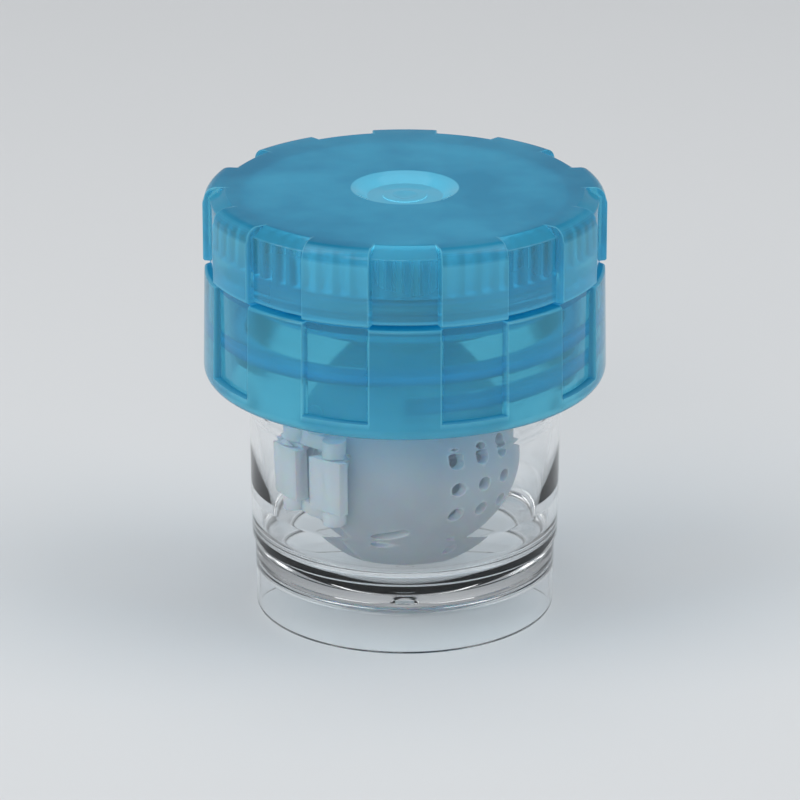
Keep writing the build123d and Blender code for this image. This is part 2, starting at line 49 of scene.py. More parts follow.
SAME_POINT = 1e-7  # metres
NO_LENGTH = 1e-8
EDGE_MARK = "edge"  # the points' value that tells the materials where edges are, for painted highlights there
panel_count = 9  # the collar's windows and the cap's lobes
edge_round = 0.15  # rounding of most edges

# ---- cup ----
base_radius = 17.2
skirt_inner = 16.0
skirt_top_radius = 17.3
skirt_height = 8.4
chamber_radius = 17.65
chamber_inner = 16.25
step_z = 8.7
neck_radius = 17.9
neck_inner = 16.5
cup_lip_z = 38.2
floor_z = 3.6
floor_dish_radius = 25.0
underside_z = 2.1
underside_dish_radius = 36.0
bowl_corner = 3.0
root_corner = 1.0
lip_round = 0.4
foot_round = 0.25
gate_radius = 1.1
gate_height = 0.4
ring_marks = (13.8, 23.8, 24.6)  # heights of fine mould lines round the chamber
mark_height = 0.05
mark_width = 0.22

# ---- thread ----
thread_pitch = 3.4
thread_rise = 1.75
thread_root = 1.9  # axial width at its foot
thread_crest = 0.9
thread_turns = 1.6
cup_thread_z = 29.6  # where the cup's ridge starts, at the front
thread_step = 3.0  # degrees
thread_run_out = 8  # steps over which the ridge rises to its height
thread_sink = 0.04  # how deep its foot lies in the wall, as a share of its height
thread_sharp = 50
crest_edge_mark = 2.0  # marks of the crest's two edges and of its middle, painted as highlights by the blue material
crest_mark = 1.4

# ---- collar ----
collar_bottom_z = 27.8
collar_top_z = 40.9
collar_bore = 20.0
collar_radius = 23.0
collar_top_radius = 22.75
collar_bottom_round = 1.5
collar_bore_round = 0.3
wall_draft = 0.04  # how far the wall has leaned in at its windows
collar_top_round = 0.4
window_half = 9.0  # degrees from a window's middle to the edge of its bottom
window_flank = 1.0  # degrees that each side leans out
window_floor_radius = 22.15
window_sill_z = 30.0
sill_slope = 0.1
collar_step = 1.5  # widest gap between two columns, in degrees
deck_z = 39.5
deck_top_z = 41.1
spigot_radius = 20.0
spigot_wall = 1.5
spigot_top_z = 43.2
bead_z = 42.225
bead_half = 0.45
bead_height = 0.3
bush_radius = 5.25
bush_bottom_z = 37.1
bush_top_z = 43.51
gland_radius = 4.05
gland_z = 41.15
spindle_bore = 2.55

# ---- gear train ----
ring_teeth = 63
ring_root_radius = 19.65
ring_tip_radius = 18.3
ring_bottom_z = 43.8
ring_space = 0.77  # degrees right of the front, the middle of one tooth space
tooth_root_half = 0.37  # half width of a tooth at its root, in tooth pitches
tooth_tip_half = 0.13
tooth_curve = 0.85  # below 1 the flanks bulge
roof_row = 1.0  # from the teeth's tips to the next row of the roof
mark_slack = 0.01  # above and below the teeth, in finding their points
mark_margin = 0.2  # inside the bore, the same
planet_orbit = 11.7
planet_count = 3
first_planet_angle = 30.0
post_radius = 1.5
post_shoulder = 2.6
post_shoulder_z = 43.95
post_top_z = 47.6
post_sink = 0.4  # how deep a post stands in the deck
post_columns = 48

# ---- cap ----
cap_bottom_z = 41.25
cap_top_z = 50.0
lobe_radius = 22.9
lobe_top_radius = 22.7
lobe_round = 1.5
lobe_steps = 10  # gives the lobe's arc as many points as the bevel's two arcs and rows
bevel_top_steps = 3
bevel_foot_steps = 4
lobe_half = 10.35  # degrees
lobe_foot_half = 10.63
lobe_edge = 0.6  # degrees of a lobe's side that lie within lobe_half
panel_radius = 22.0
bevel_width = 1.7
bevel_height = 1.1
bevel_round = 0.25
bevel_rows = (0.2, 0.8)  # rows of points that keep the bevel flat, as shares of its width
cap_bore = 20.05
groove_clearance = 0.05
roof_z = 48.3
dimple_radius = 6.1
dimple_step_radius = 5.4
dimple_step = 0.35
dimple_floor_radius = 4.3
dimple_depth = 1.0
dimple_ring_radius = 2.5
dimple_ring = 0.12
dimple_pip_radius = 1.4
dimple_pip = 0.3
dimple_pip_round = 0.3
dimple_ring_round = 0.08
dimple_ring_root = 0.05
dimple_floor_round = 0.3
dimple_step_round = 0.2
dimple_lip_round = 0.1
# From an edge to the row of points that keeps the face beside it flat.
dimple_row = 0.5
top_row = 0.6
side_row = 0.4
foot_row = 0.5
cap_step = 2.0  # widest gap between two columns, in degrees
cap_sharp = 38

# ---- basket ----
basket_turn = radians(43.0)
ball_radius = 13.0
ball_z = 18.05
door_wall = 1.1
door_face = 1.5
rim_half = 1.4
frame_ring_width = 1.8
web_half = 0.6
lens_base_curve = 8.4
lens_seat_radius = 6.8
web_hole_radius = 0.9
web_hole_circle = 9.0
web_hole_count = 8
seat_hole_circle = 3.6
seat_hole_count = 4
vent_radius = 0.88
vent_pitch = 3.45
drain_ring = 10.7
drain_turn = -145.0
drain_length = 2.6
drain_width = 1.3
sink_ring = 8.4
sink_turn = -107.0
sink_radius = 0.7
hub_radius = 3.8
hub_root_z = 29.05
hub_top_z = 36.0
hub_socket_z = 31.05
drive_radius = 1.74  # across the flats of the socket, halved
pin_offset = 3.3
pin_reach = 13.7
pin_radius = 0.7
knuckle_low_z = 15.65
knuckle_high_z = 22.15
knuckle_radius = 1.45
knuckle_tail = 2.2
knuckle_reach = 1.6
knuckle_sweep = 15.6
knuckle_wall = 1.2
lug_radius = 1.3
lug_levels = ((13.85, 15.45), (22.35, 23.95))
latch_half = 2.0
latch_depth = 0.7
latch_root = 1.7
latch_gap = 0.2
arm_inset = 0.3  # of the knuckle's arm from its ends, and its overlap with the shell
pin_clearance = 0.05
pin_sink = 0.8  # how far a pin stays short of its lugs' outer ends
lug_web_inset = 0.001
hub_clearance = 0.3
web_root = 0.2  # rounding where the web meets the ring
web_cut = 3  # half length of the tools for the web's holes
seat_cut = 5  # the same for the seats' holes
cut_margin = 1  # how far a tool stands out of what it cuts
soft_edge = 0.12  # rounding of the basket's edges
soft_angle = 40  # degrees from which an edge is rounded
ball_columns = 160
hub_columns = 64
notch_columns = 48
dome_steps = 36
seat_steps = 12
barrel_steps = 12

# ---- colours ----
blue_color = (0.05, 0.37, 0.56)
blue_cloud = (0.04, 0.36, 0.54)
# painted shade: a darker blue for faces that look up
blue_top_shade = (0.004, 0.16, 0.29)
# painted light: a lighter blue for convex edges, tooth tips and the dimple
blue_painted_light = (0.30, 0.74, 0.88)
blue_glint = (0.80, 0.95, 1.00)
# painted shade at the ring gear's tooth roots
blue_root_shade = (0.01, 0.27, 0.44)
blue_shadow = (0.50, 0.78, 0.88)
blue_edge_mark = 0.3
blue_bands = (  # height and colour: light feet and rims, deeper walls
    (27.8, (0.13, 0.62, 0.80)),
    (30.0, (0.12, 0.59, 0.78)),
    (40.5, (0.10, 0.55, 0.75)),
    (41.5, (0.15, 0.62, 0.80)),
    (44.0, (0.13, 0.59, 0.77)),
    (50.0, (0.10, 0.51, 0.69)),
)
# Where the blue changes, in metres from the axis: the dimple's edge, inside which the roof
# has a painted glow, the outer wall's inside and the foot of the ribs and lobes.
roof_edge = (0.0060, 0.0062)
wall_skin = (0.0202, 0.0210)
rib_foot = (0.0223, 0.0226)
milky_color = (0.54, 0.63, 0.70)
milky_cloud = (0.60, 0.68, 0.74)
# painted highlight on the basket's convex edges
milky_edge_light = (0.84, 0.89, 0.92)
milky_shadow = (0.55, 0.60, 0.63)


# ---- outlines ----
def corner_arc(before, corner, after, rounding, steps=6):
    """Points of the arc that rounds a corner of an outline."""
    p = Vector(corner)
    a = (Vector(before) - p).normalized()
    b = (Vector(after) - p).normalized()
    half = acos(max(-1.0, min(1.0, a.dot(b)))) / 2
    reach = rounding / tan(half)
    centre = p + (a + b).normalized() * (rounding / sin(half))
    start = p + a * reach - centre
    end = p + b * reach - centre
    turn = start.angle_signed(end)
    points = []
    for step in range(steps + 1):
        angle = -turn * step / steps
        x = start.x * cos(angle) - start.y * sin(angle)
        y = start.x * sin(angle) + start.y * cos(angle)
        points.append((centre.x + x, centre.y + y))
    return points


def rounded(corners):
    """Open outline through (radius, height, rounding) corners, each with its own rounding."""
    points = []
    for i, (r, z, rounding) in enumerate(corners):
        if rounding and 0 < i < len(corners) - 1:
            before = corners[i - 1][:2]
            after = corners[i + 1][:2]
            points += corner_arc(before, (r, z), after, rounding)
        else:
            points.append((r, z))
    return points


def dish(lowest, dish_radius, reach, steps=10):
    """Points of a spherical dish from its axis out to reach, as (radius, height)."""
    points = []
    for step in range(steps + 1):
        r = reach * step / steps
        points.append((r, lowest + radius_drop(r, dish_radius)))
    return points


def radius_drop(radius, dish_radius):
    """How far a sphere has fallen away from its pole at this distance from its axis."""
    return dish_radius - sqrt(dish_radius**2 - radius**2)


def polar(radius, angle, z):
    """Point at this angle in degrees round the Z axis."""
    a = radians(angle)
    return Vector((radius * cos(a), radius * sin(a), z))


# ---- meshes ----
def new_object(name, data):
    item = bpy.data.objects.new(name, data)
    bpy.context.scene.collection.objects.link(item)
    return item


def mesh_piece(name, vertices, faces, sharp=SHARP):
    """Closed mesh from points in millimetres, smooth except along its sharp edges."""
    mesh = bpy.data.meshes.new(name)
    mesh.from_pydata([Vector(v) * MM for v in vertices], [], faces)
    piece = new_object(name, mesh)
    tidy(piece, sharp)
    return piece


def tidy(piece, sharp=SHARP):
    """Merges doubled points, turns the faces outwards and marks the sharp edges."""
    shape = bmesh.new()
    shape.from_mesh(piece.data)
    bmesh.ops.remove_doubles(shape, verts=shape.verts, dist=SAME_POINT)
    bmesh.ops.dissolve_degenerate(shape, edges=shape.edges, dist=NO_LENGTH)
    bmesh.ops.recalc_face_normals(shape, faces=shape.faces)
    for face in shape.faces:
        face.smooth = True
    for edge in shape.edges:
        edge.smooth = edge.is_manifold and edge.calc_face_angle(0.0) < radians(sharp)
    shape.to_mesh(piece.data)
    shape.free()


def skin(name, rings, closed=False, sharp=SHARP):
    """Surface through rings of points. A ring of one point closes the surface on its axis."""
    vertices = []
    starts = []
    for ring in rings:
        starts.append(len(vertices))
        vertices += ring
    faces = []
    last = len(rings) if closed else len(rings) - 1
    for i in range(last):
        j = (i + 1) % len(rings)
        a, b = starts[i], starts[j]
        n = max(len(rings[i]), len(rings[j]))
        for k in range(n):
            m = (k + 1) % n
            if len(rings[i]) == 1:
                faces.append((a, b + k, b + m))
            elif len(rings[j]) == 1:
                faces.append((a + m, a + k, b))
            else:
                faces.append((a + k, b + k, b + m, a + m))
    return mesh_piece(name, vertices, faces, sharp)


def lathe(name, outline, columns=COLUMNS):
    """Turned shape round the Z axis, on which its outline starts and ends."""
    rings = []
    for r, z in outline:
        if r == 0:
            rings.append([Vector((0, 0, z))])
        else:
            rings.append([polar(r, 360.0 * k / columns, z) for k in range(columns)])
    return skin(name, rings)


def prism(name, outline, low, high):
    """Upright block with this outline of (x, y) points."""
    n = len(outline)
    vertices = [(x, y, low) for x, y in outline] + [(x, y, high) for x, y in outline]
    faces = [tuple(range(n - 1, -1, -1)), tuple(range(n, 2 * n))]
    faces += [(k, (k + 1) % n, n + (k + 1) % n, n + k) for k in range(n)]
    return mesh_piece(name, vertices, faces)


def mark_edges(piece, most_mark, least=9.0, most=22.0):
    """Marks each point from 0 to most_mark as the surface there turns out by least to most."""
    shape = bmesh.new()
    shape.from_mesh(piece.data)
    marks = []
    for point in shape.verts:
        turns = [edge.calc_face_angle_signed(0.0) for edge in point.link_edges]
        sharpest = max(turns, default=0.0)
        share = (sharpest - radians(least)) / radians(most - least)
        marks.append(most_mark * max(0.0, min(1.0, share)))
    shape.free()
    store = piece.data.attributes.new(EDGE_MARK, "FLOAT", "POINT")
    store.data.foreach_set("value", marks)


def circle(x, y, radius, steps=32):
    return [
        (x + radius * cos(2 * pi * k / steps), y + radius * sin(2 * pi * k / steps))
        for k in range(steps)
    ]


def move(piece, matrix):
    """Moves the piece's own mesh, its lengths given in millimetres."""
    scaled = matrix.copy()
    scaled.translation = scaled.translation * MM
    piece.data.transform(scaled)


def joined(name, parts):
    """One mesh with the faces of several, which are removed."""
    shape = bmesh.new()
    for part in parts:
        shape.from_mesh(part.data)
        bpy.data.objects.remove(part)
    mesh = bpy.data.meshes.new(name)
    shape.to_mesh(mesh)
    shape.free()
    return new_object(name, mesh)


def apply_change(piece):
    """Puts the modified mesh in the place of the piece's own."""
    bpy.context.view_layer.update()
    result = bpy.data.meshes.new_from_object(
        piece.evaluated_get(bpy.context.evaluated_depsgraph_get())
    )
    piece.modifiers.clear()
    piece.data = result


def combine(piece, tool, operation, careful=False):
    """Cuts the tool out of the piece, or welds it on, and removes the tool.

    careful allows for a tool, or a piece, whose own parts cross each other.
    """
    change = piece.modifiers.new(operation, "BOOLEAN")
    change.operation = operation
    change.solver = "EXACT"
    change.use_self = careful
    change.object = tool
    apply_change(piece)
    bpy.data.objects.remove(tool)
    tidy(piece)


def soften(piece):
    """Rounds the sharp edges of a piece of the basket."""
    change = piece.modifiers.new("soften", "BEVEL")
    change.width = soft_edge * MM
    change.segments = 2
    change.limit_method = "ANGLE"
    change.angle_limit = radians(soft_angle)
    change.use_clamp_overlap = True
    apply_change(piece)
    tidy(piece, soft_angle)


# ---- materials ----
def shader(name, color, roughness, **values):
    """Principled material with its steady values set on the shader itself."""
    material = bpy.data.materials.new(name)
    material.use_nodes = True
    principled = material.node_tree.nodes["Principled BSDF"]
    principled.inputs["Base Color"].default_value = (*color, 1.0)
    principled.inputs["Roughness"].default_value = roughness
    for key, value in values.items():
        principled.inputs[key.replace("_", " ")].default_value = value
    return material, principled


def add(material, kind):
    return material.node_tree.nodes.new(kind)


def link(material, source, socket):
    material.node_tree.links.new(source, socket)


def own_place(material):
    """Coordinates in the object's own axes, in metres."""
    return add(material, "ShaderNodeTexCoord").outputs["Object"]


def noise(material, scale, detail, stretch=(1, 1, 1)):
    """Noise over the object's own coordinates, with features of 1/scale metres."""
    scaled = add(material, "ShaderNodeMapping")
    scaled.inputs["Scale"].default_value = stretch
    texture = add(material, "ShaderNodeTexNoise")
    texture.inputs["Scale"].default_value = scale
    texture.inputs["Detail"].default_value = detail
    link(material, own_place(material), scaled.inputs["Vector"])
    link(material, scaled.outputs["Vector"], texture.inputs["Vector"])
    return texture.outputs["Fac"]


def mapped(material, source, start, end, low=0.0, high=1.0):
    """Grey value carried from start..end to low..high."""
    scale = add(material, "ShaderNodeMapRange")
    scale.inputs["From Min"].default_value = start
    scale.inputs["From Max"].default_value = end
    scale.inputs["To Min"].default_value = low
    scale.inputs["To Max"].default_value = high
    link(material, source, scale.inputs["Value"])
    return scale.outputs["Result"]


def roughen(material, source, principled, low, high, start=0.3, end=0.7):
    """Roughness from low to high as a grey value goes from start to end."""
    level = mapped(material, source, start, end, low, high)
    link(material, level, principled.inputs["Roughness"])


def tint(material, source, principled, dark, light, start=0.3, end=0.7):
    """Colour from dark to light as a grey value goes from start to end."""
    colors = add(material, "ShaderNodeValToRGB")
    colors.color_ramp.elements[0].position = start
    colors.color_ramp.elements[0].color = (*dark, 1.0)
    colors.color_ramp.elements[1].position = end
    colors.color_ramp.elements[1].color = (*light, 1.0)
    link(material, source, colors.inputs["Fac"])
    link(material, colors.outputs["Color"], principled.inputs["Base Color"])


def bump(material, source, principled, depth, strength):
    """Relief of this depth in metres."""
    relief = add(material, "ShaderNodeBump")
    relief.inputs["Strength"].default_value = strength
    relief.inputs["Distance"].default_value = depth
    link(material, source, relief.inputs["Height"])
    link(material, relief.outputs["Normal"], principled.inputs["Normal"])


def let_lamps_through(material, principled, color):
    """Lets lamp light through, tinted, in place of a black shadow behind the surface."""
    rays = add(material, "ShaderNodeLightPath")
    see_through = add(material, "ShaderNodeBsdfTransparent")
    see_through.inputs["Color"].default_value = (*color, 1.0)
    mix = add(material, "ShaderNodeMixShader")
    output = material.node_tree.nodes["Material Output"]
    link(material, rays.outputs["Is Shadow Ray"], mix.inputs[0])
    link(material, principled.outputs["BSDF"], mix.inputs[1])
    link(material, see_through.outputs["BSDF"], mix.inputs[2])
    link(material, mix.outputs["Shader"], output.inputs["Surface"])


def edges(material):
    """Grey value of the edge marks: 0 on flat faces and up to 1 on convex edges.

    The ring gear's teeth go from -1 at their roots to 1, and a thread's crest has up to 2.
    """
    mark = add(material, "ShaderNodeAttribute")
    mark.attribute_name = EDGE_MARK
    return mark.outputs["Fac"]


def distance_from_axis(material):
    """Distance from the Z axis as a grey value, in metres."""
    flat = add(material, "ShaderNodeVectorMath")
    flat.operation = "MULTIPLY"
    flat.inputs[1].default_value = (1, 1, 0)
    length = add(material, "ShaderNodeVectorMath")
    length.operation = "LENGTH"
    link(material, own_place(material), flat.inputs[0])
    link(material, flat.outputs["Vector"], length.inputs[0])
    return length.outputs["Value"]


def layered(material, low, high, share):
    """Mix of two colours by a grey value."""
    mix = add(material, "ShaderNodeMix")
    mix.data_type = "RGBA"
    for socket, value in ((mix.inputs[6], low), (mix.inputs[7], high)):
        if isinstance(value, tuple):
            socket.default_value = (*value, 1.0)
        else:
            link(material, value, socket)
    link(material, share, mix.inputs[0])
    return mix.outputs[2]


def product(material, first, second):
    """Product of two grey values."""
    times = add(material, "ShaderNodeMath")
    times.operation = "MULTIPLY"
    link(material, first, times.inputs[0])
    link(material, second, times.inputs[1])
    return times.outputs["Value"]


def height(material):
    """Height that the point has at rest as a grey value, in metres."""
    split = add(material, "ShaderNodeSeparateXYZ")
    link(material, own_place(material), split.inputs["Vector"])
    return split.outputs["Z"]


def clear_plastic():
    """Polished clear moulding with a trace of haze and faint flow lines."""
    material, principled = shader(
        "clear_plastic", (0.975, 0.985, 0.99), 0.03, Transmission_Weight=1.0, IOR=1.5
    )
    roughen(material, noise(material, 140, 3), principled, 0.01, 0.05)
    flow = noise(material, 60, 2, (1, 1, 0.25))
    bump(material, flow, principled, 0.00004, 0.25)
    let_lamps_through(material, principled, (0.90, 0.92, 0.93))
    return material


def upward(material):
    """Grey value that is 1 on faces that look up and 0 on upright ones."""
    shape = add(material, "ShaderNodeNewGeometry")
    split = add(material, "ShaderNodeSeparateXYZ")
    turn = add(material, "ShaderNodeVectorTransform")
    turn.vector_type = "NORMAL"
    turn.convert_from = "WORLD"
    turn.convert_to = "OBJECT"
    link(material, shape.outputs["True Normal"], turn.inputs["Vector"])
    link(material, turn.outputs["Vector"], split.inputs["Vector"])
    return mapped(material, split.outputs["Z"], 0.6, 0.95)


def bands(material, levels):
    """Colour by height: levels are (height in mm, colour) from the bottom up."""
    colors = add(material, "ShaderNodeValToRGB")
    low, high = levels[0][0], levels[-1][0]
    share = mapped(material, height(material), low * MM, high * MM)
    link(material, share, colors.inputs["Fac"])
    stops = colors.color_ramp.elements
    while len(stops) < len(levels):
        stops.new(0.5)
    for stop, (z, color) in zip(stops, levels):
        stop.position = (z - low) / (high - low)
    for stop, (z, color) in zip(stops, levels):
        stop.color = (*color, 1.0)
    return colors.outputs["Color"]


def blue_plastic():
    """Frosted translucent blue with a satin skin and see-through walls; its colour has painted
    highlights on edges and thread crests, painted shade on upward faces and tooth roots and a
    painted glow in the dimple.
    """
    material, principled = shader(
        "blue_plastic",
        blue_color,
        roughness=0.12,
        IOR=1.35,
        Specular_IOR_Level=0.12,
        Coat_Weight=0.08,
        Coat_Roughness=0.38,
        Coat_IOR=1.45,
    )
    radius = distance_from_axis(material)
    top = upward(material)
    mark = edges(material)
    cloud = mapped(material, noise(material, 90, 3), 0.35, 0.65, 0.0, 0.35)
    # painted glow inside the dimple, where the roof is thin
    thin_roof_glow = mapped(material, radius, *roof_edge, 0.28, 0.0)
    roof = layered(material, blue_top_shade, blue_painted_light, thin_roof_glow)
    # faces that look up take the painted shade of the top
    body = layered(material, bands(material, blue_bands), roof, top)
    body = layered(material, body, blue_cloud, cloud)
    # painted shade at the tooth roots
    body = layered(material, body, blue_root_shade, mapped(material, mark, -1.0, 0.0, 0.6, 0.0))
    # painted highlight on convex edges and tooth tips
    color = layered(material, body, blue_painted_light, mapped(material, mark, 0.0, 1.0, 0.0, 0.8))
    # painted glint on thread crests
    color = layered(material, color, blue_glint, mapped(material, mark, 1.0, 2.0, 0.0, 0.9))
    link(material, color, principled.inputs["Base Color"])
    clear = mapped(material, radius, *wall_skin, 0.95, 0.68)
    for source, start, end, low, high in (
        (radius, *rib_foot, 1.0, 0.92),
        (mark, 0.0, 1.0, 1.0, 0.2),
        (mark, -1.0, 0.0, 0.3, 1.0),
        (top, 0.0, 1.0, 1.0, 0.15),
    ):
        clear = product(material, clear, mapped(material, source, start, end, low, high))
    link(material, clear, principled.inputs["Transmission Weight"])
    roughen(material, radius, principled, 0.08, 0.16, *rib_foot)
    let_lamps_through(material, principled, blue_shadow)
    return material


def milky_plastic():
    """Milky translucent white with a fine grain, and a painted highlight on its edges."""
    material, principled = shader(
        "milky_plastic",
        milky_color,
        roughness=0.40,
        Transmission_Weight=0.40,
        IOR=1.45,
        Subsurface_Weight=0.6,
        Subsurface_Scale=0.0015,
    )
    cloud = mapped(material, noise(material, 160, 3), 0.35, 0.65)
    body = layered(material, milky_color, milky_cloud, cloud)
    # painted highlight on convex edges
    edge_light = mapped(material, edges(material), 0.0, 1.0, 0.0, 0.8)
    color = layered(material, body, milky_edge_light, edge_light)
    link(material, color, principled.inputs["Base Color"])
    grain = noise(material, 2200, 2)
    roughen(material, grain, principled, 0.34, 0.46)
    bump(material, grain, principled, 0.000015, 0.3)
    let_lamps_through(material, principled, milky_shadow)
    return material


def gear_plastic():
    """Slippery white moulding."""
    material, principled = shader(
        "gear_plastic", (0.86, 0.86, 0.83), 0.38, Subsurface_Weight=0.3, Subsurface_Scale=0.001
    )
    clouds = noise(material, 220, 2)
    tint(material, clouds, principled, (0.83, 0.83, 0.80), (0.88, 0.88, 0.86))
    roughen(material, noise(material, 1800, 2), principled, 0.32, 0.46)
    return material


def silicone():
    """Soft translucent rubber."""
    material, principled = shader(
        "silicone", (0.80, 0.83, 0.84), 0.55, Subsurface_Weight=0.5, Subsurface_Scale=0.001
    )
    haze = noise(material, 1200, 3)
    tint(material, haze, principled, (0.76, 0.79, 0.80), (0.84, 0.87, 0.88))
    roughen(material, haze, principled, 0.48, 0.62)
    return material


def steel():
    """Stainless steel with fine turning marks."""
    material, principled = shader("steel", (0.62, 0.62, 0.63), 0.3, Metallic=1.0)
    marks = noise(material, 3000, 2, (1, 1, 8))
    tint(material, marks, principled, (0.56, 0.56, 0.57), (0.66, 0.66, 0.67))
    roughen(material, marks, principled, 0.22, 0.36)
    return material


MATERIALS = {
    "clear_plastic": clear_plastic(),
    "blue_plastic": blue_plastic(),
    "milky_plastic": milky_plastic(),
    "gear_plastic": gear_plastic(),
    "silicone": silicone(),
    "steel": steel(),
}


def dress(piece, slot):
    """Gives the piece its edge marks and the material of a slot of the record."""
    mark_edges(piece, blue_edge_mark if slot == "blue_plastic" else 1.0)
    piece.data.materials.clear()
    piece.data.materials.append(MATERIALS[slot])


# ---- cup ----
def wall_radius(z):
    """Outside radius of the tapering chamber wall at this height."""
    share = (z - step_z) / (collar_bottom_z - step_z)
    return chamber_radius + (neck_radius - chamber_radius) * share


def make_cup():
    floor_edge_z = floor_z + radius_drop(chamber_inner, floor_dish_radius)
    under_edge_z = underside_z + radius_drop(skirt_inner, underside_dish_radius)
    reach = chamber_inner - bowl_corner
    corners = [(r, z, 0) for r, z in dish(floor_z, floor_dish_radius, reach)]
    corners += [
        (chamber_inner, floor_edge_z, bowl_corner),
        (neck_inner, collar_bottom_z, 0),
        (neck_inner, cup_lip_z, lip_round),
        (neck_radius, cup_lip_z, lip_round),
        (neck_radius, collar_bottom_z, 0),
    ]
    for z in reversed(ring_marks):
        corners += [
            (wall_radius(z + mark_width), z + mark_width, 0),
            (wall_radius(z) + mark_height, z, 0),
            (wall_radius(z - mark_width), z - mark_width, 0),
        ]
    corners += [
        (chamber_radius, step_z, edge_round),
        (skirt_top_radius, skirt_height, edge_round),
        (base_radius, 0, foot_round),
        (skirt_inner, 0, foot_round),
        (skirt_inner, under_edge_z, root_corner),
    ]
    under = dish(underside_z, underside_dish_radius, skirt_inner - 2 * root_corner)
    corners += [(r, z, 0) for r, z in reversed(under) if r > gate_radius]
    corners += [
        (gate_radius, underside_z, 0),
        (gate_radius, underside_z - gate_height, edge_round),
        (0, underside_z - gate_height, 0),
    ]
    cup = lathe("cup_shell", rounded(corners))
    dress(cup, "clear_plastic")
    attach(cup, "cup")
    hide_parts("cup")


# ---- thread ----
def make_ridge(name, foot_radius, crest_radius, start_z, slot, body):
    """Helical ridge that runs out gently at both ends."""
    steps = round(thread_turns * 360 / thread_step)
    rings = []
    for step in range(steps + 1):
        angle = FRONT + step * thread_step
        z = start_z + thread_pitch * step * thread_step / 360
        share = min(1.0, (min(step, steps - step) + 0.5) / thread_run_out)
        crest = foot_radius + (crest_radius - foot_radius) * share
        sink = foot_radius + (foot_radius - crest_radius) * thread_sink
        profile = (
            (sink, z - thread_root / 2),
            (crest, z - thread_crest / 2),
            (crest, z),
            (crest, z + thread_crest / 2),
            (sink, z + thread_root / 2),
            (sink, z),
        )
        rings.append([polar(r, angle, level) for r, level in profile])
    side = len(rings[0])
    vertices = [point for ring in rings for point in ring]
    faces = [tuple(range(side))]
    for a in range(0, side * steps, side):
        for k in range(side):
            m = (k + 1) % side
            faces.append((a + k, a + m, a + side + m, a + side + k))
    faces.append(tuple(range(side * steps + side - 1, side * steps - 1, -1)))
    ridge = mesh_piece(name, vertices, faces, thread_sharp)
    dress(ridge, slot)
    mark_thread(ridge, foot_radius, crest_radius, start_z)
    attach(ridge, body)


def mark_thread(ridge, foot_radius, crest_radius, start_z):
    """Marks a thread's ridge: most on the edges of its crest, less between, 0 at its foot. The
    blue material paints these marks as highlights and glints.
    """
    marks = ridge.data.attributes[EDGE_MARK].data
    for point, mark in zip(ridge.data.vertices, marks):
        x, y, z = point.co / MM
        turned = (atan2(y, x) - radians(FRONT)) / (2 * pi)
        off = (z - start_z) / thread_pitch - turned
        off = abs(off - round(off)) * thread_pitch
        share = (hypot(x, y) - foot_radius) / (crest_radius - foot_radius)
        top_mark = crest_edge_mark if off > thread_crest / 4 else crest_mark
        mark.value = max(0.0, share) * top_mark


# ---- collar ----
edge_support = 0.35  # degrees from an upright edge to the next row of points
# A sloped side's cross section: shares of the way across it, with the depth at each.
SIDE_STEPS = ((0.0, 1.0), (0.15, 0.93), (0.5, 0.5), (0.85, 0.07), (1.0, 0.0))


def pattern_angles(half, flank):
    """Angles from the front where a nine-fold pattern needs a column of points."""
    offsets = [half + share * flank for share, _ in SIDE_STEPS]
    offsets += [half - edge_support, half + flank + edge_support]
    angles = []
    for panel in range(panel_count):
        middle = (panel + 0.5) * (360.0 / panel_count)
        angles.append(middle)
        for offset in offsets:
            angles += [middle - offset, middle + offset]
    return angles


def pattern_depth(angle, half, flank):
    """How deep the nine-fold pattern is at this angle from the front, from 0 to 1."""
    pitch = 360.0 / panel_count
    offset = abs((angle % pitch) - pitch / 2)
    share = (offset - half) / flank
    if share <= 0:
        return 1.0
    for (a, high), (b, low) in zip(SIDE_STEPS, SIDE_STEPS[1:]):
        if share <= b:
            return high + (low - high) * (share - a) / (b - a)
    return 0.0


def spread(angles, step):
    """Sorted angles of a full turn with fillers, so that no gap is wider than step."""
    found = sorted({round(a % 360.0, 4) for a in angles})
    filled = []
    for a, b in zip(found, found[1:] + [found[0] + 360.0]):
        parts = max(1, round((b - a) / step))
        filled += [a + (b - a) * k / parts for k in range(parts)]
    return filled


def level_ring(r, z, angles):
    """Points on a level circle, at these angles from the front."""
    return [polar(r, FRONT + a, z) for a in angles]


def pattern_ring(low, high, angles, half, flank):
    """Points between low and high, both (radius, height), by the pattern's depth."""
    ring = []
    for a in angles:
        depth = pattern_depth(a, half, flank)
        r = low[0] + (high[0] - low[0]) * depth
        ring.append(polar(r, FRONT + a, low[1] + (high[1] - low[1]) * depth))
    return ring


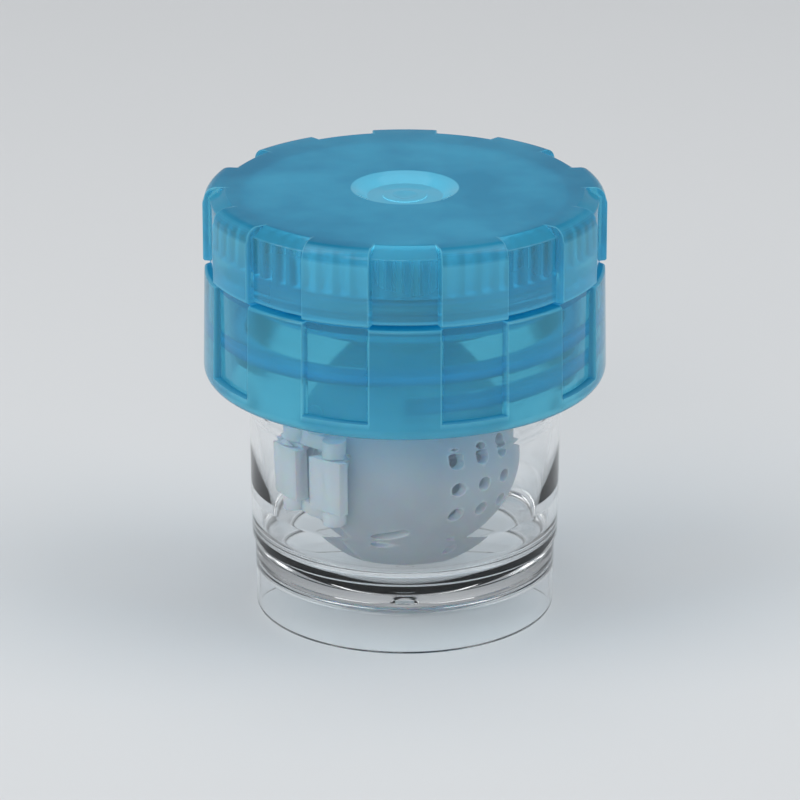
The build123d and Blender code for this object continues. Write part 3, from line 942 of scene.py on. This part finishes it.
def make_collar():
    wall = rounded(
        [
            (collar_bore, collar_bottom_z, collar_bore_round),
            (collar_radius, collar_bottom_z, collar_bottom_round),
            (collar_radius - wall_draft, window_sill_z - sill_slope, 0),
        ]
    )
    window = rounded(
        [
            (collar_radius - wall_draft, window_sill_z, 0),
            (collar_top_radius, collar_top_z, collar_top_round),
            (spigot_radius + 1, collar_top_z, 0),
        ]
    )[:-1]  # the last corner only gives the top its direction
    inside = rounded(
        [
            (spigot_radius, collar_top_z, edge_round),
            (spigot_radius, bead_z - bead_half, 0),
            (spigot_radius + bead_height, bead_z, edge_round),
            (spigot_radius, bead_z + bead_half, 0),
            (spigot_radius, spigot_top_z, edge_round),
            (spigot_radius - spigot_wall, spigot_top_z, edge_round),
            (spigot_radius - spigot_wall, deck_top_z, edge_round),
            (bush_radius, deck_top_z, edge_round),
            (bush_radius, bush_top_z, edge_round),
            (gland_radius, bush_top_z, 0),
            (gland_radius, gland_z, 0),
            (spindle_bore, gland_z, 0),
            (spindle_bore, bush_bottom_z, 0),
            (bush_radius, bush_bottom_z, edge_round),
            (bush_radius, deck_z, edge_round),
            (collar_bore, deck_z, edge_round),
        ]
    )
    angles = spread(pattern_angles(window_half, window_flank), collar_step)
    rings = [level_ring(r, z, angles) for r, z in wall]
    for r, z in window:
        floor = (window_floor_radius, z)
        rings.append(pattern_ring((r, z), floor, angles, window_half, window_flank))
    rings += [level_ring(r, z, angles) for r, z in inside]
    collar = skin("collar_shell", rings, closed=True)
    dress(collar, "blue_plastic")
    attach(collar, "head")
    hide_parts("screw_collar")


def make_posts():
    """The three posts that carry the planets, each standing in the deck."""
    posts = []
    outline = rounded(
        [
            (0, deck_top_z - post_sink, 0),
            (post_shoulder, deck_top_z - post_sink, 0),
            (post_shoulder, post_shoulder_z, edge_round),
            (post_radius, post_shoulder_z, 0),
            (post_radius, post_top_z, edge_round),
            (0, post_top_z, 0),
        ]
    )
    for planet in range(planet_count):
        post = lathe(f"post_{planet}", outline, columns=post_columns)
        angle = first_planet_angle + planet * 360.0 / planet_count
        move(post, Matrix.Translation(polar(planet_orbit, angle, 0)))
        posts.append(post)
    posts = joined("planet_posts", posts)
    tidy(posts)
    dress(posts, "blue_plastic")
    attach(posts, "head")


# ---- cap ----
def tooth_radius(angle):
    """Inner radius of the ring gear at this angle from the front."""
    pitch = 360.0 / ring_teeth
    share = abs(((angle - ring_space) / pitch + 0.5) % 1.0 - 0.5)  # 0 in a space, 0.5 on a tooth
    from_tooth = 0.5 - share
    if from_tooth <= tooth_tip_half:
        return ring_tip_radius
    if from_tooth >= tooth_root_half:
        return ring_root_radius
    rise = (from_tooth - tooth_tip_half) / (tooth_root_half - tooth_tip_half)
    return ring_tip_radius + (ring_root_radius - ring_tip_radius) * rise**tooth_curve


def tooth_angles():
    pitch = 360.0 / ring_teeth
    middle_half = (tooth_tip_half + tooth_root_half) / 2
    found = []
    for tooth in range(ring_teeth):
        centre = ring_space + (tooth + 0.5) * pitch
        for share in (tooth_tip_half, middle_half, tooth_root_half):
            found += [centre - share * pitch, centre + share * pitch]
    return found


def mark_teeth(cap):
    """Marks the ring gear from -1 at its roots to 1 at its tips, for painted shade at the roots
    and painted light at the tips.
    """
    marks = cap.data.attributes[EDGE_MARK].data
    for point, mark in zip(cap.data.vertices, marks):
        radius = hypot(point.co.x, point.co.y) / MM
        level = ring_bottom_z - mark_slack < point.co.z / MM < roof_z + mark_slack
        if level and radius < cap_bore - mark_margin:
            share = (ring_root_radius - radius) / (ring_root_radius - ring_tip_radius)
            mark.value = 2 * share - 1


def make_cap():
    floor = cap_top_z - dimple_depth
    dimple = rounded(
        [
            (0, floor - dimple_pip, 0),
            (dimple_pip_radius, floor + dimple_ring, dimple_pip_round),
            (dimple_ring_radius, floor + dimple_ring, dimple_ring_round),
            (dimple_ring_radius, floor, dimple_ring_root),
            (dimple_floor_radius, floor, dimple_floor_round),
            (dimple_step_radius, cap_top_z - dimple_step, dimple_step_round),
            (dimple_radius, cap_top_z, dimple_lip_round),
            (dimple_radius + dimple_row, cap_top_z, 0),
            (panel_radius - bevel_width - top_row, cap_top_z, 0),
        ]
    )
    middle = (0, cap_top_z)
    lobe_top, lobe_foot = (lobe_top_radius, cap_top_z), (lobe_radius, cap_bottom_z)
    lobe = corner_arc(middle, lobe_top, lobe_foot, lobe_round, lobe_steps)
    bevel_top = (panel_radius - bevel_width, cap_top_z)
    bevel_foot = (panel_radius, cap_top_z - bevel_height)
    below = (panel_radius, 0)
    panel = corner_arc(middle, bevel_top, bevel_foot, bevel_round, bevel_top_steps)
    foot = corner_arc(bevel_top, bevel_foot, below, bevel_round, bevel_foot_steps)
    last, first = Vector(panel[-1]), Vector(foot[0])
    panel += [tuple(last.lerp(first, share)) for share in bevel_rows]
    panel += foot
    outside = list(zip(panel, lobe))
    outside += [
        ((panel_radius, panel[-1][1] - side_row), (lobe_radius, lobe[-1][1] - side_row)),
        ((panel_radius, cap_bottom_z + foot_row), (lobe_radius, cap_bottom_z + foot_row)),
        ((panel_radius, cap_bottom_z + edge_round), (lobe_radius, cap_bottom_z + edge_round)),
        ((panel_radius - edge_round, cap_bottom_z), (lobe_radius - edge_round, cap_bottom_z)),
    ]
    under = [
        (cap_bore, cap_bottom_z),
        (cap_bore, bead_z - bead_half - groove_clearance),
        (cap_bore + bead_height, bead_z),
        (cap_bore, bead_z + bead_half + groove_clearance),
        (cap_bore, ring_bottom_z),
    ]
    half = lobe_half - lobe_edge
    flank = lobe_foot_half - lobe_half + lobe_edge
    angles = spread(pattern_angles(half, flank) + tooth_angles(), cap_step)
    rings = [[Vector((0, 0, dimple[0][1]))]]
    rings += [level_ring(r, z, angles) for r, z in dimple[1:]]
    for panel_point, lobe_point in outside:
        rings.append(pattern_ring(panel_point, lobe_point, angles, half, flank))
    rings += [level_ring(r, z, angles) for r, z in under]
    for z in (ring_bottom_z, roof_z):
        rings.append([polar(tooth_radius(a), FRONT + a, z) for a in angles])
    rings.append(level_ring(ring_tip_radius - roof_row, roof_z, angles))
    rings.append([Vector((0, 0, roof_z))])
    cap = skin("cap_shell", rings, sharp=cap_sharp)
    dress(cap, "blue_plastic")
    mark_teeth(cap)
    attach(cap, "cap")
    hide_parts("turning_cap")


# ---- basket ----
def basket_matrix():
    """From the basket's own axes (x away from the hinges, y out of its back) to the frame."""
    return Matrix.Rotation(basket_turn, 4, "Z")


def facing_matrix(side):
    """Turns an upright lathe so that its axis points out of the front (+1) or the back (-1)."""
    upright = Matrix.Rotation(radians(90.0 * side), 4, "X")
    return basket_matrix() @ Matrix.Translation((0, 0, ball_z)) @ upright


def arc(radius, start, end, steps):
    """Points of an arc about the origin, its angles in degrees."""
    points = []
    for step in range(steps + 1):
        a = radians(start + (end - start) * step / steps)
        points.append((radius * cos(a), radius * sin(a)))
    return points


def slot_outline(length, width, steps=10):
    """Rounded slot along x."""
    points = []
    for end, start in ((1, -90), (-1, 90)):
        middle = end * (length - width) / 2
        points += [(middle + x, y) for x, y in arc(width / 2, start, start + 180, steps)]
    return points


def door_holes(side):
    """Everything that is cut through a door along its axis."""
    tools = []
    low, high = door_face + cut_margin, ball_radius + cut_margin
    for column in (-1, 0, 1):
        for row in (-1, 0, 1):
            x, y = column * vent_pitch, row * vent_pitch
            tools.append(prism("vent", circle(x, y, vent_radius), low, high))
    sink = radians(sink_turn)
    x, y = sink_ring * cos(sink), sink_ring * sin(sink)
    tools.append(prism("sink", circle(x, y, sink_radius), low, high))
    c, s = cos(radians(drain_turn)), sin(radians(drain_turn))
    outline = []
    for x, y in slot_outline(drain_length, drain_width):
        outline.append((drain_ring * c + (x * c - y * s), drain_ring * s + (x * s + y * c)))
    tools.append(prism("drain", outline, door_face - cut_margin, high))
    holes = joined("holes", tools)
    move(holes, door_matrix(side))
    tidy(holes)
    return holes


def door_matrix(side):
    """Places a tool drawn with x away from the hinges, y up and z out of the door."""
    upright = Matrix.Rotation(radians(90.0), 4, "X")
    mirror = Matrix.Diagonal((1, side, 1, 1))
    return basket_matrix() @ Matrix.Translation((0, 0, ball_z)) @ mirror @ upright


def knuckle_outline(side):
    """Plan of the hinge knuckle in the basket's own axes, its barrel round and its tail flat."""
    y = -side * pin_offset
    tail_x = -pin_reach - knuckle_reach
    barrel = arc(knuckle_radius, -90, 90, barrel_steps)
    points = [(px - pin_reach, py + y) for px, py in barrel]
    points += [(-pin_reach, y + knuckle_tail), (tail_x, y + knuckle_tail)]
    points += [(tail_x, y - knuckle_tail), (-pin_reach, y - knuckle_tail)]
    clipped = []
    for px, py in points:
        reach = hypot(px, py)
        if reach > knuckle_sweep:
            px, py = px * knuckle_sweep / reach, py * knuckle_sweep / reach
        clipped.append((px, py))
    return clipped


def make_door(side, name, node, body):
    """One half shell with its holes, its hinge knuckle and its latch."""
    inner = ball_radius - door_wall
    start = atan2(door_face, sqrt(ball_radius**2 - door_face**2)) * 180 / pi
    inner_start = atan2(door_face, sqrt(inner**2 - door_face**2)) * 180 / pi
    outside = arc(ball_radius, start, 90, dome_steps)[:-1] + [(0, ball_radius)]
    inside = [(0, inner)] + arc(inner, 90, inner_start, dome_steps)[1:]
    shell = lathe("shell", inside + outside, columns=ball_columns)
    move(shell, facing_matrix(side))
    y = -side
    pin_y = y * pin_offset
    knuckle = prism("knuckle", knuckle_outline(side), knuckle_low_z, knuckle_high_z)
    right = -pin_reach + knuckle_reach + arm_inset
    low, high = pin_y - knuckle_wall / 2, pin_y + knuckle_wall / 2
    arm = prism(
        "arm",
        [(-pin_reach, low), (right, low), (right, high), (-pin_reach, high)],
        knuckle_low_z + arm_inset,
        knuckle_high_z - arm_inset,
    )
    root = ball_radius - door_wall / 2
    reach = ball_radius + latch_gap
    latch = prism(
        "latch",
        [
            (root, y * door_face),
            (reach, y * door_face),
            (reach, y * latch_gap),
            (reach + latch_depth, y * latch_gap),
            (reach + latch_depth, y * (door_face + latch_root)),
            (root, y * (door_face + latch_root)),
        ],
        ball_z - latch_half,
        ball_z + latch_half,
    )
    for part in (knuckle, arm, latch):
        move(part, basket_matrix())
        combine(shell, part, "UNION")
    combine(shell, door_holes(side), "DIFFERENCE", careful=True)
    bore = prism(
        "bore",
        circle(-pin_reach, pin_y, pin_radius + pin_clearance),
        knuckle_low_z - cut_margin,
        knuckle_high_z + cut_margin,
    )
    move(bore, basket_matrix())
    combine(shell, bore, "DIFFERENCE")
    notch = prism(
        "notch",
        circle(0, 0, hub_radius + hub_clearance, notch_columns),
        ball_z,
        ball_z + ball_radius + cut_margin,
    )
    combine(shell, notch, "DIFFERENCE")
    soften(shell)
    shell.name = name
    dress(shell, "milky_plastic")
    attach(shell, body)
    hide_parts(node)


def make_frame():
    """The ball's middle frame: ring, web, two domed lens seats, hub, hinge lugs and pins."""
    crown = web_half + radius_drop(lens_seat_radius, lens_base_curve)
    seat = dish(-crown, lens_base_curve, lens_seat_radius, seat_steps)
    top = [(r, -z, 0) for r, z in seat]
    top += [
        (ball_radius - frame_ring_width, web_half, web_root),
        (ball_radius - frame_ring_width, rim_half, edge_round),
        (ball_radius, rim_half, edge_round),
    ]
    corners = top + [(r, -z, rounding) for r, z, rounding in reversed(top)]
    body = lathe("basket", rounded(corners), columns=ball_columns)
    tools = []
    for count, first, ring, cut in (
        (web_hole_count, 0.5, web_hole_circle, web_cut),
        (seat_hole_count, 0, seat_hole_circle, seat_cut),
    ):
        for k in range(count):
            a = 2 * pi * (k + first) / count
            x, y = ring * cos(a), ring * sin(a)
            tools.append(prism("hole", circle(x, y, web_hole_radius), -cut, cut))
    combine(body, joined("holes", tools), "DIFFERENCE")
    move(body, facing_matrix(1))
    outline = [
        (0, hub_root_z, 0),
        (hub_radius, hub_root_z, edge_round),
        (hub_radius, hub_top_z, edge_round),
        (0, hub_top_z, 0),
    ]
    hub = lathe("hub", rounded(outline), columns=hub_columns)
    combine(body, hub, "UNION")
    hexagon = circle(0, 0, drive_radius / cos(pi / 6), 6)
    socket = prism("socket", hexagon, hub_socket_z, hub_top_z + cut_margin)
    move(socket, basket_matrix() @ Matrix.Rotation(radians(30), 4, "Z"))
    combine(body, socket, "DIFFERENCE")
    for low, high in lug_levels:
        for y in (pin_offset, -pin_offset):
            lug = prism("lug", circle(-pin_reach, y, lug_radius), low, high)
            move(lug, basket_matrix())
            combine(body, lug, "UNION")
        web = prism(
            "web",
            [
                (-ball_radius + frame_ring_width, rim_half),
                (-ball_radius, rim_half),
                (-pin_reach, pin_offset),
                (-pin_reach - lug_radius / 2, 0),
                (-pin_reach, -pin_offset),
                (-ball_radius, -rim_half),
                (-ball_radius + frame_ring_width, -rim_half),
            ],
            low + lug_web_inset,
            high - lug_web_inset,
        )
        move(web, basket_matrix())
        combine(body, web, "UNION")
    low, high = lug_levels[0][0] + pin_sink, lug_levels[1][1] - pin_sink
    for y in (pin_offset, -pin_offset):
        pin = prism("pin", circle(-pin_reach, y, pin_radius), low, high)
        move(pin, basket_matrix())
        combine(body, pin, "UNION", careful=True)
    soften(body)
    body.name = "basket_shell"
    dress(body, "milky_plastic")
    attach(body, "basket")
    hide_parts("basket_frame")


# ---- stage ----
camera_target = Vector((-0.00055, 0.0, 0.0243))
camera_place = Vector((-0.00055, -0.5361, 0.2280))
camera_lens = 225.0
sensor_width = 36.0
floor_color = (0.64, 0.65, 0.66)
backdrop_color = (0.90, 0.91, 0.92)
far_start = 0.4  # metres from the object at which the floor starts to lighten
far_end = 1.1
stage_half = 1.6  # metres, and so the next three
stage_back = 1.1
stage_height = 1.8
stage_sweep = 0.35
sweep_steps = 16


def make_stage():
    """Pale floor that runs up into a backdrop."""
    bend = stage_back - stage_sweep
    outline = [(-stage_half, 0.0), (bend, 0.0)]
    for step in range(1, sweep_steps + 1):
        a = pi / 2 * step / sweep_steps
        outline.append((bend + stage_sweep * sin(a), stage_sweep - stage_sweep * cos(a)))
    outline.append((stage_back, stage_height))
    vertices = [(x, y, z) for y, z in outline for x in (-stage_half, stage_half)]
    faces = [(2 * k, 2 * k + 1, 2 * k + 3, 2 * k + 2) for k in range(len(outline) - 1)]
    mesh = bpy.data.meshes.new("floor")
    mesh.from_pydata(vertices, [], faces)
    for face in mesh.polygons:
        face.use_smooth = True
    floor = new_object("floor", mesh)
    material, principled = shader("floor_paper", floor_color, 0.75, Specular_IOR_Level=0.1)
    roughen(material, noise(material, 40, 3), principled, 0.7, 0.8)
    far = mapped(material, distance_from_axis(material), far_start, far_end)
    paper_color = layered(material, floor_color, backdrop_color, far)
    link(material, paper_color, principled.inputs["Base Color"])
    floor.data.materials.append(material)


def lamp(name, place, size, power):
    """Soft area lamp that looks at the object."""
    data = bpy.data.lights.new(name, "AREA")
    data.shape = "RECTANGLE"
    data.size, data.size_y = size
    data.energy = power
    light = new_object(name, data)
    light.location = place
    aim = Vector(place) - camera_target
    light.rotation_euler = aim.to_track_quat("Z", "Y").to_euler()


def make_lamps():
    lamp("top_lamp", (0.0, 0.10, 0.75), (0.7, 0.5), 1.6)
    lamp("left_lamp", (-0.48, -0.16, 0.52), (0.4, 0.6), 2.0)
    lamp("right_lamp", (0.48, -0.10, 0.52), (0.4, 0.6), 1.8)
    lamp("front_lamp", (-0.25, -0.8, 0.55), (0.6, 0.4), 1.8)
    world = bpy.data.worlds.new("room")
    world.use_nodes = True
    background = world.node_tree.nodes["Background"]
    background.inputs["Color"].default_value = (0.80, 0.83, 0.86, 1.0)
    background.inputs["Strength"].default_value = 0.35
    bpy.context.scene.world = world


def make_camera():
    data = bpy.data.cameras.new("camera")
    data.sensor_width = sensor_width
    data.lens = camera_lens
    camera = new_object("camera", data)
    camera.location = camera_place
    aim = camera_place - camera_target
    camera.rotation_euler = aim.to_track_quat("Z", "Y").to_euler()
    bpy.context.scene.camera = camera
    bpy.context.scene.view_settings.view_transform = "Standard"


make_camera()
make_stage()
make_lamps()
make_cup()
make_collar()
make_posts()
make_cap()
cup_crest = neck_radius + thread_rise
make_ridge("cup_thread", neck_radius, cup_crest, cup_thread_z, "clear_plastic", "cup")
collar_crest = collar_bore - thread_rise
collar_start_z = cup_thread_z + thread_pitch / 2
make_ridge("collar_thread", collar_bore, collar_crest, collar_start_z, "blue_plastic", "head")
make_frame()
make_door(1, "door_front_shell", "lens_door_front", "door_front")
make_door(-1, "door_back_shell", "lens_door_back", "door_back")
for part in frame["record"]["subparts"]:
    node = frame["nodes"][part["node"]]
    if not node.hide_render:
        node.data.materials.clear()
        node.data.materials.append(MATERIALS[part["material_slot"]])
